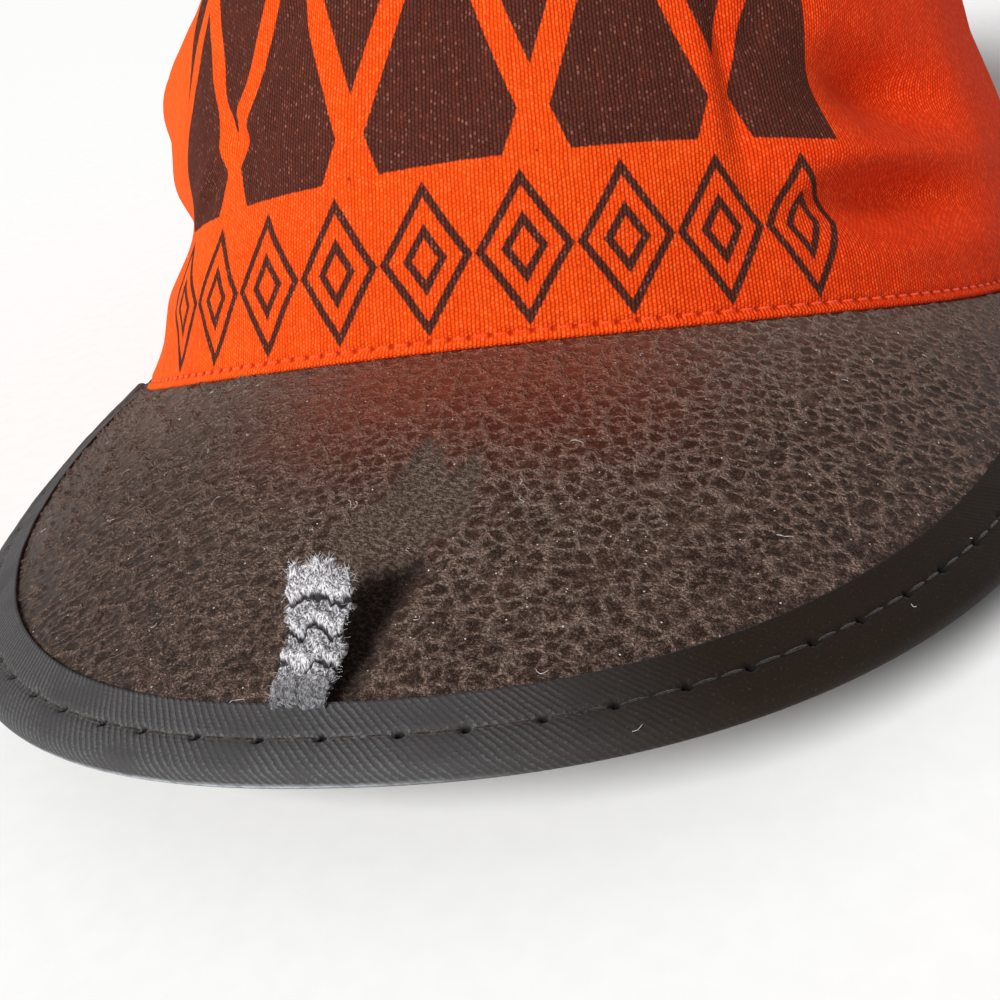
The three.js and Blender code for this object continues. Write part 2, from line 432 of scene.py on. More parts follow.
def connect(tree, shader, colour, roughness, height, depth):
    # depth is the relief's real height in millimetres
    relief = addNode(tree, "ShaderNodeBump", {"Height": height, "Distance": depth * mm, "Strength": 1.0})
    tree.links.new(colour, shader.inputs["Base Color"])
    tree.links.new(roughness, shader.inputs["Roughness"])
    tree.links.new(relief.outputs[0], shader.inputs["Normal"])


cotton = {
    "orange": (0.93, 0.075, 0.003, 1),
    # painted light and shade: a lit, yellower orange and a shaded, deeper red
    "paintedLitTint": (0.96, 0.125, 0.008, 1),
    "paintedShade": (0.86, 0.04, 0.002, 1),
    # painted shade between the threads and in the needle holes
    "gap": (0.36, 0.014, 0.001, 1),
    "pale": (0.98, 0.17, 0.035, 1),
    "ink": (0.085, 0.022, 0.014, 1),
    # the ink's painted shade between threads and its painted glint on thread tops
    "inkGapShade": (0.025, 0.005, 0.003, 1),
    "inkGlint": (0.42, 0.17, 0.12, 1),
    "ribPitch": 0.5,
    "rowPitch": 0.5,
    "threadDepth": 0.11,
    "printSides": (-57.5, 53.0),
    "printBlur": 0.12,
    "lozengeWidth": 24.5,
    "lozengeHeight": 50.0,
    "lozengeGap": 3.6,
    "lozengeEnds": (20.5, 58.0),  # foot and head of the field
    "borderPitch": 12.27,
    "borderMiddle": 10.6,
    "borderHalfWidth": 5.4,
    "borderHalfHeight": 7.6,
    "borderSizes": (1.0, 0.42),  # a smaller outline inside each one
    "borderLine": 1.0,
    "needleWidth": (0.2, 0.5),
    "needleHeight": (0.12, 0.4),
    "needleShare": 0.49,  # where the hole lies between two stitches
}


def weaveField(tree, flat):
    # plain weave: each rib is a string of short beads, and every second rib is half a bead on
    across, up = split(tree, warped(tree, warped(tree, flat, 0.3, 0.3), 1.3, 0.2))
    ribs = times(tree, across, 1 / cotton["ribPitch"])
    rib = calc(tree, "FLOOR", ribs)
    odd = calc(tree, "MODULO", calc(tree, "ABSOLUTE", rib), 2.0)
    rows = calc(tree, "MULTIPLY_ADD", up, 1 / cotton["rowPitch"], times(tree, odd, 0.5))
    tops = []
    for count in (ribs, rows):
        away = calc(tree, "MULTIPLY_ADD", calc(tree, "FRACT", count), 2.0, -1.0)
        tops.append(calc(tree, "SUBTRACT", 1.0, times(tree, away, away)))
    bead = times(tree, tops[0], calc(tree, "MULTIPLY_ADD", tops[1], 0.6, 0.4))
    number = addNode(tree, "ShaderNodeCombineXYZ", {0: rib, 1: calc(tree, "FLOOR", rows)}).outputs[0]
    luck = addNode(tree, "ShaderNodeTexWhiteNoise", {"Vector": number}, noise_dimensions="2D").outputs[0]
    slub = times(tree, noiseField(tree, scaled(tree, flat, 1.7, 0.12), 1.0), 0.5)
    uneven = calc(tree, "MULTIPLY_ADD", luck, 0.2, times(tree, noiseField(tree, flat, 1.6, 2.0), 0.4))
    threads = calc(tree, "ADD", calc(tree, "ADD", bead, slub), calc(tree, "SUBTRACT", uneven, 0.5))
    return threads, luck


def printEdge(tree, value, edge, start=0.0, end=1.0):
    return ramp(tree, value, edge - cotton["printBlur"], edge + cotton["printBlur"], start, end)


def within(tree, value, low, high):
    return times(tree, printEdge(tree, value, low), printEdge(tree, value, high, 1.0, 0.0))


def printField(tree, flat):
    # an argyle field of tall lozenges over a border of small outlined ones
    along, up = split(tree, warped(tree, flat, 2.2, 0.28))
    wide, high = 1 / cotton["lozengeWidth"], 1 / cotton["lozengeHeight"]
    sides = []
    for way in (1, -1):
        slanted = calc(tree, "MULTIPLY_ADD", along, wide, times(tree, up, way * high))
        offset = apart(tree, calc(tree, "FRACT", slanted), 0.5)
        sides.append(calc(tree, "SUBTRACT", 0.5, offset))
    edge = times(tree, calc(tree, "MINIMUM", *sides), 1 / math.hypot(wide, high))
    ink = times(tree, printEdge(tree, edge, cotton["lozengeGap"] / 2),
                within(tree, up, *cotton["lozengeEnds"]))
    pitch = cotton["borderPitch"]
    start = calc(tree, "MULTIPLY_ADD", along, 1 / pitch, -cotton["printSides"][0] / pitch)
    across = times(tree, apart(tree, calc(tree, "FRACT", start), 0.5), pitch)
    wide, high = 1 / cotton["borderHalfWidth"], 1 / cotton["borderHalfHeight"]
    away = apart(tree, up, cotton["borderMiddle"])
    size = calc(tree, "MULTIPLY_ADD", away, high, times(tree, across, wide))
    for wanted in cotton["borderSizes"]:
        away = times(tree, apart(tree, size, wanted), 1 / math.hypot(wide, high))
        ink = calc(tree, "MAXIMUM", ink, printEdge(tree, away, cotton["borderLine"] / 2, 1.0, 0.0))
    return times(tree, ink, within(tree, along, *cotton["printSides"]))


def needleHoleShade(tree, along, rise):
    # painted shade of the needle holes between the hem's stitches
    step = 2 * hemHalf / stitchCount
    start = hemHalf / step + cotton["needleShare"]
    place = calc(tree, "FRACT", calc(tree, "MULTIPLY_ADD", along, 1 / step, start))
    away = times(tree, apart(tree, place, 0.5), step)
    high = apart(tree, rise, crown["stitchRise"])
    return times(tree, ramp(tree, away, *cotton["needleWidth"], 0.9, 0.0),
                 ramp(tree, high, *cotton["needleHeight"], 1.0, 0.0))


def cottonMaterial(name, printed):
    material, tree, shader = newMaterial(name, Specular_IOR_Level=0.1, Sheen_Weight=0.025,
                                         Sheen_Roughness=0.5, Sheen_Tint=(1, 0.3, 0.1, 1))
    flat = sheetPlace(tree)
    threads, luck = weaveField(tree, flat)
    along, rise = split(tree, flat)
    drift = calc(tree, "MULTIPLY_ADD", noiseField(tree, flat, 0.05, 3.0), 60.0, along)
    # painted light and shade: lighter and yellower at the left of the front, where the lamp falls, deeper
    # red at its right, in shade, and alike where the wall meets at the back
    front = ramp(tree, calc(tree, "ABSOLUTE", along), 110.0, 230.0, 1.0 if printed else 0.3, 0.0)
    paintedLitTint = times(tree, front, ramp(tree, drift, -45.0, 20.0, 1.0, 0.0))
    paintedShade = times(tree, front, ramp(tree, drift, 45.0, 95.0))
    # painted shade: darker between the threads
    gaps = ramp(tree, threads, 0.2, 0.8, 0.65, 0.0)
    # painted highlight: pale tops on some of the threads
    pale = times(tree, ramp(tree, luck, 0.3, 1.0, 0.1, 0.6), ramp(tree, threads, 0.65, 1.1))
    cloth = painted(tree, cotton["orange"], (paintedLitTint, cotton["paintedLitTint"]), (paintedShade, cotton["paintedShade"]),
                    (gaps, cotton["gap"]), (pale, cotton["pale"]))
    if printed:
        # painted highlight: pale glints on the ink's thread tops; painted shade where the ink sinks between
        # threads
        wearAndHighlight = calc(tree, "MULTIPLY_ADD", noiseField(tree, flat, 0.8, 3.0, 0.7), 0.9, luck)
        glint = times(tree, ramp(tree, wearAndHighlight, 1.15, 1.6, 0.0, 0.5), ramp(tree, threads, 0.7, 1.1))
        ink = painted(tree, cotton["ink"], (glint, cotton["inkGlint"]),
                      (ramp(tree, threads, 0.2, 0.75, 0.8, 0.0), cotton["inkGapShade"]))
        thin = ramp(tree, noiseField(tree, flat, 0.5, 4.0, 0.7), 0.25, 0.5, 0.95, 1.0)
        cloth = painted(tree, cloth, (needleHoleShade(tree, along, rise), cotton["gap"]),
                        (times(tree, printField(tree, flat), thin), ink))
    mottle = ramp(tree, noiseField(tree, flat, 1.3, 3.0, 0.7), 0.3, 0.75, 0.86, 1.08)
    shade = addNode(tree, "ShaderNodeCombineColor", {0: mottle, 1: mottle, 2: mottle}).outputs[0]
    cloth = painted(tree, cloth, (1.0, shade, "MULTIPLY"))
    connect(tree, shader, cloth, ramp(tree, threads, 0.2, 1.0, 0.95, 0.8), threads, cotton["threadDepth"])
    return material


def sunk(point, angle, rise):
    point.z -= crown["hemSink"] * smooth(9, 2, rise) * smooth(seamAngle, 0.9 * seamAngle, abs(angle))
    return point


# The crown's wall, sewn shut at the back
def crownAngle(across):
    return math.pi * eased(across, 0.55)


def crownHeightAt(angle, up):
    return mix(hemHeight(angle), crownTopHeight(angle), up ** 1.45)


def crownPlace(across, up):
    angle = crownAngle(across)
    height = crownHeightAt(angle, up)
    top = crownTopHeight(angle)
    rise = height - hemHeight(angle)
    roll = crown["topRoll"] * smooth(top - crown["topRollHeight"], top, height) ** 2
    seam = -crown["backSeam"] * bump(abs(angle), math.pi, 0.012)
    wave = clothWave(angle, rise, top - hemHeight(angle)) if abs(angle) < 3.12 else 0
    return sunk(wallPoint(angle, height, wave + hemRoll(rise) + seam - roll), angle, rise)


def crownPattern(across, up):
    angle = crownAngle(across)
    return hemLength(angle), crownHeightAt(angle, up) - hemHeight(angle)


printedCotton = cottonMaterial("orangeCottonPrinted", True)
plainCotton = cottonMaterial("orangeCotton", False)
crownWall = newSheet("crownWall", crown["grid"], crownPlace, crownPattern)
thicken(crownWall, crown["clothThickness"])
settle(crownWall, printedCotton, "orange_cotton", "crown_band")


# The oval top panel, sewn inside the wall's upper edge
def topRim(angle):
    inwards = crown["topRoll"] + crown["clothThickness"] + crown["topClearance"]
    return wallPoint(angle, crownTopHeight(angle), -inwards)


topCentre = (topRim(0) + topRim(math.pi)) / 2


def topPlace(across, up):
    # the square grid is rounded into a disc, so that the panel has no pole
    x, y = 2 * across - 1, 2 * up - 1
    roundX, roundY = x * math.sqrt(1 - y * y / 2), y * math.sqrt(1 - x * x / 2)
    share = min(1.0, math.hypot(roundX, roundY))
    rim = topRim(math.atan2(roundX, -roundY))
    point = topCentre.lerp(rim, share)
    point.z = mix(topCentre.z - crown["topSag"], rim.z, share ** 2.5)
    point.z += lumps(point.x, point.y, *crown["topWaves"]) * (1 - share ** 6)
    return point


def topPattern(across, up):
    return topPlace(across, up).xy


crownTop = newSheet("crownTopPanel", crown["topGrid"], topPlace, topPattern)
thicken(crownTop, crown["clothThickness"])
settle(crownTop, plainCotton, "orange_cotton", "crown_top")


# The visor's board and its covering
visor = {
    "halfWidth": tapeHigh.x - 0.4,
    "reach": 59.5,
    "squareness": 2.26,
    "cornerLead": 2.2,
    "tipHeight": 13.4,
    "endHeight": 2.15,
    "archPower": 2.2,
    "crowning": 1.2,
    "thickness": 1.6,
    "seamGap": 0.3,
    "allowance": 6,  # tucked inside the crown
    "rimInset": 1.45,
    "netDepth": 0.22,
    "pressed": 0.55,  # how deep the tape presses the covering
    "wornDepth": 0.3,
    "waveDepth": 0.12,
    "ragAcross": ((0.9, 2.1, 1.3), (0.5, 0.8, 3.3)),  # how ragged the torn edges are
    "ragAlong": ((0.9, 2.1, 9.3), (0.8, 0.8, 6.3)),
    "seamShare": 0.93,  # of the sheet's rows, up to the seam
    "wearSide": 12,  # nothing is torn further out, or further back
    "wearBack": -88,
    "grid": (340, 132),
}

# Where the covering has torn away and the felt under it shows, as points in plan
baldOutline = [
    (1.0, -92.4), (3.3, -95.9), (4.6, -99.2), (7.3, -95.0), (8.2, -99.8), (7.3, -104.8), (6.1, -107.6),
    (3.6, -111.2), (2.6, -116.5), (1.2, -121.5), (0.2, -128.5), (-5.2, -128.5), (-6.4, -121.0),
    (-5.6, -115.0), (-6.5, -109.5), (-5.6, -106.0), (-4.4, -104.2), (-2.3, -102.9), (-1.3, -101.1),
    (-0.9, -96.6),
]

# The tear under the strip and beside it, sunk and painted near black as shade
tearShadeOutline = [
    (-5.8, -128.8), (0.9, -128.4), (2.3, -121.5), (3.4, -116.5), (5.2, -112.2), (3.6, -110.2),
    (1.2, -112.5), (-4.8, -117.0),
]

cornerY = ovalPoint(seamAngle)[1] - visor["cornerLead"]
tipY = middleY - crown["halfLength"] - visor["reach"]


def seamY(x):
    return middleY - crown["halfLength"] * math.sqrt(max(0.0, 1 - (x / crown["halfWidth"]) ** 2))


def edgeY(x):
    side = min(1.0, abs(x) / visor["halfWidth"])
    return mix(cornerY, tipY, (1 - side ** visor["squareness"]) ** (1 / visor["squareness"]))


def edgePlan(turn):
    # the visor's outline in plan, from -1 at one corner to 1 at the other
    angle = turn * math.pi / 2
    side = math.copysign(abs(math.sin(angle)) ** (2 / visor["squareness"]), turn)
    forward = abs(math.cos(angle)) ** (2 / visor["squareness"])
    return Vector((visor["halfWidth"] * side, mix(cornerY, tipY, forward)))


def edgeInward(turn):
    along = edgePlan(turn + 0.002) - edgePlan(turn - 0.002)
    return Vector((-along.y, along.x)).normalized()


def boardHeight(x, y):
    across = clamp(x, -visor["halfWidth"], visor["halfWidth"])
    back, front = seamY(across), edgeY(across)
    along = clamp((back - y) / (back - front))
    hem = hemHeight(math.asin(across / crown["halfWidth"]))
    root = max(hem - visor["seamGap"] - visor["thickness"] * 0.58, visor["endHeight"])
    share = (abs(across) / visor["halfWidth"]) ** visor["archPower"]
    edge = mix(visor["tipHeight"], visor["endHeight"], share)
    swell = visor["crowning"] * 4 * along * (1 - along) * smooth(4, 30, back - front)
    return mix(root, edge, along) + swell


def boardPoint(x, y, offset):
    step = 0.5
    slopeX = (boardHeight(x + step, y) - boardHeight(x - step, y)) / (2 * step)
    slopeY = (boardHeight(x, y + step) - boardHeight(x, y - step)) / (2 * step)
    return Vector((x, y, boardHeight(x, y))) + Vector((-slopeX, -slopeY, 1)).normalized() * offset


def visorPlan(across, up):
    # a place on the board, and the seam beside it where it lies in the allowance
    turn = eased(across, 0.6)
    angle = turn * seamAngle
    seam = Vector(ovalPoint(angle))
    if up > visor["seamShare"]:
        inward = Vector((-math.sin(angle) / crown["halfWidth"], math.cos(angle) / crown["halfLength"]))
        beyond = (up - visor["seamShare"]) / (1 - visor["seamShare"])
        return seam + inward.normalized() * visor["allowance"] * beyond, seam
    rim = edgePlan(turn) + edgeInward(clamp(turn, -0.99, 0.99)) * visor["rimInset"]
    rim.y = min(rim.y, seam.y)
    return rim.lerp(seam, up / visor["seamShare"]), None


def visorPlace(across, up):
    plan, seam = visorPlan(across, up)
    if seam is not None:  # the allowance keeps the seam's height
        point = boardPoint(seam.x, seam.y, visor["thickness"] / 2)
        return point + Vector((*(plan - seam), 0))
    rimDistance = plan.y - edgeY(plan.x)
    under = visor["pressed"] * smooth(7.4, 6.2, rimDistance)
    bare = visor["wornDepth"] * (visorBald(across, up) + visorTearShade(across, up))
    wave = visor["waveDepth"] * spot(plan.x, plan.y, 14, 7.7)
    return boardPoint(plan.x, plan.y, visor["thickness"] / 2 - under - bare + wave)


def visorPattern(across, up):
    return visorPlan(across, up)[0]


def insideShare(x, y, outline, blur):
    # 1 well inside the outline, 0 well outside
    inside = False
    nearest = 1e9
    for (ax, ay), (bx, by) in zip(outline, outline[1:] + outline[:1]):
        if (ay > y) != (by > y) and x < mix(ax, bx, (y - ay) / (by - ay)):
            inside = not inside
        side = Vector((bx - ax, by - ay))
        k = clamp(((x - ax) * side.x + (y - ay) * side.y) / side.length_squared)
        nearest = min(nearest, math.hypot(x - ax - k * side.x, y - ay - k * side.y))
    return smooth(-blur, blur, nearest if inside else -nearest)


def nearTear(x, y):
    return abs(x) < visor["wearSide"] and y < visor["wearBack"]


def visorBald(across, up):
    x, y = visorPattern(across, up)
    if not nearTear(x, y):
        return 0.0
    tornX = x + lumps(x, y, *visor["ragAcross"])
    tornY = y + lumps(x, y, *visor["ragAlong"])
    return insideShare(tornX, tornY, baldOutline, 0.6)


def visorTearShade(across, up):
    # how deep the tear sinks, and how much painted shade it gets
    x, y = visorPattern(across, up)
    if not nearTear(x, y):
        return 0.0
    return 0.8 * insideShare(x + 0.5 * spot(x, y, 1.6, 4.9), y, tearShadeOutline, 0.9)


def visorDustAndPaintedLight(across, up):
    # dust gathers by the seam, and more at the left, where it also serves as painted light from the lamp on
    # that side
    plan = visorPattern(across, up)
    seamDistance = seamY(plan.x) - plan.y + 4 * spot(plan.x, plan.y, 11, 5.2)
    leftward = smooth(-5, -62, plan.x)
    return clamp(smooth(22, -2, seamDistance) * 0.6 + leftward * smooth(50, 8, seamDistance) * 0.35)


def visorNet(across, up):
    # how strongly the grain stands out: it wears off towards the front edge
    plan = visorPattern(across, up)
    rimDistance = plan.y - edgeY(plan.x)
    wearAndHighlight = smooth(6, 44, rimDistance + 8 * spot(plan.x, plan.y, 12, 2.9))
    room = smooth(4, 12, seamY(plan.x) - edgeY(plan.x))
    return mix(0.25, 1.0, wearAndHighlight) * (1 - visorBald(across, up)) * smooth(6.3, 7.6, rimDistance) * room


def grainField(tree, plan):
    # broad soft ridges round sunken cells, drawn out aslant at the left
    leftward = ramp(tree, split(tree, plan)[0], -36.0, -6.0, 1.0, 0.0)
    bent = warped(tree, warped(tree, plan, 0.35, 1.5), 1.8, 1.1)
    drawn = warped(tree, warped(tree, plan, 0.3, 1.6), 1.6, 0.5)
    layers = [{"place": scaled(tree, bent, 0.5, 0.58), "line": 0.7, "width": 0.22},
              {"place": scaled(tree, drawn, 0.27, 0.55, turn=-0.5), "line": 1.9, "width": 0.15}]
    nets = []
    for layer in layers:
        edges = voronoi(tree, layer["place"], feature="DISTANCE_TO_EDGE")["Distance"]
        cells = voronoi(tree, layer["place"])["Distance"]
        nets.append(calc(tree, "ADD", ramp(tree, edges, 0.0, layer["width"], layer["line"], 0.0),
                         ramp(tree, cells, 0.35, 0.85, 0.0, 0.5)))
    strength = ramp(tree, noiseField(tree, plan, 0.34, 3.0, 0.7), 0.38, 0.6, 0.15, 1.35)
    grit = ramp(tree, noiseField(tree, plan, 3.6, 2.0, 0.8), 0.36, 0.62, 0.25, 1.6)
    return times(tree, blend(tree, leftward, *nets), grit, strength)


def raiseGrain(piece, depth):
    # the creases as real relief on the upper side
    tree = bpy.data.node_groups.new("raisedGrain", "GeometryNodeTree")
    for way in ("INPUT", "OUTPUT"):
        tree.interface.new_socket("Geometry", in_out=way, socket_type="NodeSocketGeometry")
    start = tree.nodes.new("NodeGroupInput")
    end = tree.nodes.new("NodeGroupOutput")
    plan, strength, under = (
        addNode(tree, "GeometryNodeInputNamedAttribute", {"Name": name}, data_type=kind).outputs[0]
        for name, kind in (("UVMap", "FLOAT_VECTOR"), ("net", "FLOAT"), ("underside", "FLOAT")))
    upper = calc(tree, "SUBTRACT", 1.0, under)
    height = times(tree, grainField(tree, plan), strength, upper, depth * mm)
    normal = addNode(tree, "GeometryNodeInputNormal").outputs[0]
    lift = addNode(tree, "ShaderNodeVectorMath", {0: normal, "Scale": height}, operation="SCALE").outputs[0]
    raised = addNode(tree, "GeometryNodeSetPosition", {"Geometry": start.outputs[0], "Offset": lift})
    tree.links.new(raised.outputs[0], end.inputs[0])
    piece.modifiers.new("grain", "NODES").node_group = tree


vinyl = {
    "cell": (0.011, 0.006, 0.004, 1),
    "cellWarm": (0.022, 0.012, 0.008, 1),
    # painted reflection of the orange crown: a red tint and a red glow
    "paintedCrownReflection": (1, 0.56, 0.44, 1),
    "paintedReflectionGlow": (0.042, 0.004, 0.0015, 1),
    "dust": (0.275, 0.188, 0.15, 1),
    "felt": (0.042, 0.027, 0.02, 1),
    "feltLight": (0.215, 0.152, 0.12, 1),
    # painted shade under the torn strip and beside it, with some felt showing
    "paintedShade": (0.009, 0.006, 0.005, 1),
    "paintedShadeFelt": (0.07, 0.045, 0.034, 1),
    "lint": (0.6, 0.55, 0.5, 1),
    "bumpDepth": 0.34,
}


def vinylMaterial():
    material, tree, shader = newMaterial("grainedVinyl", Specular_IOR_Level=0.18)
    plan = sheetPlace(tree)
    strength, bald, paintedShade, dustAndPaintedLight = readMarks(tree, "net", "bald", "paintedShade", "dustAndPaintedLight")
    across, back = split(tree, plan)
    net = times(tree, grainField(tree, plan), strength)
    fuzz = noiseField(tree, plan, 3.4, 2.0, 0.8)

    # dust on the ridges, in clumps, as powder everywhere, and as a film by the seam and at the left, the
    # film at the left partly painted light
    grey = times(tree, net, ramp(tree, fuzz, 0.3, 0.62, 0.7, 1.9))
    haze = times(tree, ramp(tree, noiseField(tree, plan, 0.9, 3.0, 0.8), 0.46, 0.68),
                 ramp(tree, noiseField(tree, plan, 6.0, 1.0, 0.7), 0.38, 0.62, 0.0, 0.75))
    film = times(tree, dustAndPaintedLight, ramp(tree, fuzz, 0.3, 0.7, 0.15, 0.5))
    powder = ramp(tree, noiseField(tree, plan, 5.0, 2.0, 0.85), 0.5, 0.72, 0.0, 0.4)
    dust = calc(tree, "ADD", calc(tree, "ADD", grey, film), calc(tree, "MAXIMUM", haze, powder))
    dust = calc(tree, "MINIMUM", dust, 1.0)

    # painted reflection of the orange crown, on the covering under it
    paintedCrownReflection = times(tree, ramp(tree, across, -32.0, -4.0), ramp(tree, across, 12.0, 38.0, 1.0, 0.0),
                  ramp(tree, back, -106.0, -82.0))

    threads = noiseField(tree, scaled(tree, warped(tree, plan, 1.2, 0.5), 1.3, 2.3, turn=0.5), 1.0, 3.0, 0.9)
    felt = painted(tree, vinyl["felt"], (ramp(tree, threads, 0.42, 0.66), vinyl["feltLight"]))
    # painted shade under and beside the strip, with a little felt showing
    paintedShadeColour = painted(tree, vinyl["paintedShade"], (ramp(tree, threads, 0.45, 0.7), vinyl["paintedShadeFelt"]))

    specks = voronoi(tree, plan, 0.6)
    chance = addNode(tree, "ShaderNodeSeparateColor", {0: specks["Color"]}).outputs[0]
    size = calc(tree, "MULTIPLY_ADD", ramp(tree, chance, 0.7, 1.0), 0.035, 0.02)
    speck = times(tree, calc(tree, "LESS_THAN", specks["Distance"], size),
                  calc(tree, "GREATER_THAN", chance, 0.84), ramp(tree, bald, 0.0, 0.5, 1.0, 0.0))

    patches = ramp(tree, noiseField(tree, plan, 0.16, 3.0), 0.3, 0.7)
    surface = painted(tree, vinyl["cell"], (patches, vinyl["cellWarm"]), (dust, vinyl["dust"]),
                      (paintedCrownReflection, vinyl["paintedCrownReflection"], "MULTIPLY"), (paintedCrownReflection, vinyl["paintedReflectionGlow"], "ADD"),
                      (bald, felt), (paintedShade, paintedShadeColour), (speck, vinyl["lint"]))
    rough = calc(tree, "ADD", blend(tree, bald, ramp(tree, dust, 0.0, 0.7, 0.36, 0.75), 0.95),
                 ramp(tree, fuzz, 0.3, 0.7, -0.04, 0.08))
    relief = times(tree, net, ramp(tree, across, -40.0, 0.0, 3.0, 1.0))
    height = calc(tree, "MULTIPLY_ADD", fuzz, ramp(tree, bald, 0.0, 1.0, 0.4, 1.2), relief)
    connect(tree, shader, surface, rough, height, vinyl["bumpDepth"])
    return material


visorCover = newSheet("visorCover", visor["grid"], visorPlace, visorPattern,
                      {"bald": visorBald, "net": visorNet, "paintedShade": visorTearShade, "dustAndPaintedLight": visorDustAndPaintedLight})
thicken(visorCover, visor["thickness"], "underside")
raiseGrain(visorCover, visor["netDepth"])
settle(visorCover, vinylMaterial(), "grained_vinyl", "visor")


# The twill tape round the visor's edge
tape = {
    "width": 7.2,
    "endWidth": 4.0,
    "lift": 0.42,  # over the covering at its inner edge
    "rimRadius": 1.35,
    "thickness": 0.32,
    "stitchInset": 3.7,
    "grooveWidth": 0.3,
    "grooveDepth": 0.2,
    "seamWander": 0.12,
    "holePitch": 6.45,
    "holeScatter": 0.12,  # a share of the pitch
    "holeStart": -0.6,
    "holeRadius": 0.5,  # along the seam
    "holeWidth": 0.42,  # across it
    "holeDepth": 0.75,
    "wave": 0.1,
    "fineWave": 0.04,
    "ridge": 0.12,  # beside the stitch groove
    "crownGap": 0.3,
    "threadThickness": 0.36,
    "threadSink": 0.28,
    "ribPitch": 0.85,
    "knotPitch": 0.42,
    "bumpDepth": 0.07,
    "grid": (720, 62),
    "charcoal": (0.052, 0.05, 0.051, 1),
    "ribTop": (0.092, 0.09, 0.092, 1),
    # painted shade: brown-black on the tape's right side, and near black in its holes and groove
    "paintedShadeBrown": (0.012, 0.0065, 0.003, 1),
    "hole": (0.004, 0.003, 0.003, 1),
    # a worn rim, and a painted highlight along it
    "wearAndHighlight": (0.5, 0.52, 0.55, 1),
    "lint": (0.3, 0.27, 0.23, 1),
}


def tapeRoom(turn):
    # room between the visor's edge and the crown, which narrows the tape at the corners
    edge = edgePlan(turn)
    radius = math.hypot(edge.x / crown["halfWidth"], (edge.y - middleY) / crown["halfLength"])
    return (radius - 1) * crown["halfWidth"] * 0.97 - tape["crownGap"]


tapeEnd = 1.0
while tapeRoom(tapeEnd) < tape["endWidth"]:
    tapeEnd -= 0.002

rimSteps = [tapeEnd * (step / 300 - 1) for step in range(601)]
rimLengths = runningLengths(rimSteps, edgePlan)
rimHalf = rimLengths[-1] / 2


def rimTurn(length):
    return lookUp(length + rimHalf, rimLengths, rimSteps)


def rimPlan(turn, inwards):
    # a place on the tape, which the crown squeezes at the corners
    squeeze = min(1.0, tapeRoom(turn) / tape["width"]) if inwards > tape["rimRadius"] else 1.0
    return edgePlan(turn) + edgeInward(turn) * inwards * squeeze


def holeLength(number):
    scatter = tape["holeScatter"] * spot(number, 3.3, 0.9, 4.1)
    return tape["holeStart"] + tape["holePitch"] * (number + scatter)


def stitchState(length, inwards):
    # how deep a point lies in the stitch groove and in the nearest needle hole
    number = round((length - tape["holeStart"]) / tape["holePitch"])
    nearest = min(abs(length - holeLength(n)) for n in (number - 1, number, number + 1))
    away = inwards - tape["stitchInset"] - tape["seamWander"] * spot(length, 0, 5, 7.1)
    groove = bump(away, 0, tape["grooveWidth"])
    hole = math.exp(-((nearest / tape["holeRadius"]) ** 2 + (away / tape["holeWidth"]) ** 2) ** 2)
    return groove, hole


def tapeSection(up):
    # from the underside's inner edge round the rim to the top's inner edge
    r = tape["rimRadius"]
    flat = tape["width"] - r
    walked = up * (2 * flat + math.pi * r)
    if walked < flat:
        return tape["width"] - walked, -r, walked
    if walked < flat + math.pi * r:
        angle = (walked - flat) / r
        return r - r * math.sin(angle), -r * math.cos(angle), walked
    return walked - flat - math.pi * r + r, r, walked


def tapeLength(across):
    return rimHalf * eased(across, 0.72)


def tapePlace(across, up):
    length = tapeLength(across)
    inwards, height, _ = tapeSection(up)
    low = visor["thickness"] / 2 + tape["lift"]
    rise = height * mix(1.0, low / tape["rimRadius"], smooth(tape["rimRadius"], tape["width"], inwards))
    if height > 0:
        groove, hole = stitchState(length, inwards)
        rise += tape["wave"] * spot(length, inwards * 2, 7, 5.5)
        rise += tape["fineWave"] * spot(length, inwards, 1.5, 2.5)
        rise += tape["ridge"] * bump(inwards, tape["stitchInset"] - 1.3, 0.9)
        rise -= tape["grooveDepth"] * groove + tape["holeDepth"] * hole
    plan = rimPlan(rimTurn(length), inwards)
    return boardPoint(plan.x, plan.y, rise)


def tapePattern(across, up):
    return tapeLength(across), tapeSection(up)[2]


def tapeMark(which):
    # 0 marks the stitch groove and 1 the needle holes, on the upper side
    def mark(across, up):
        inwards, height, _ = tapeSection(up)
        return stitchState(tapeLength(across), inwards)[which] if height > 0 else 0.0
    return mark


def tapeRim(across, up):
    return bump(tapeSection(up)[2], tape["width"] + 0.4 * tape["rimRadius"], 0.22)


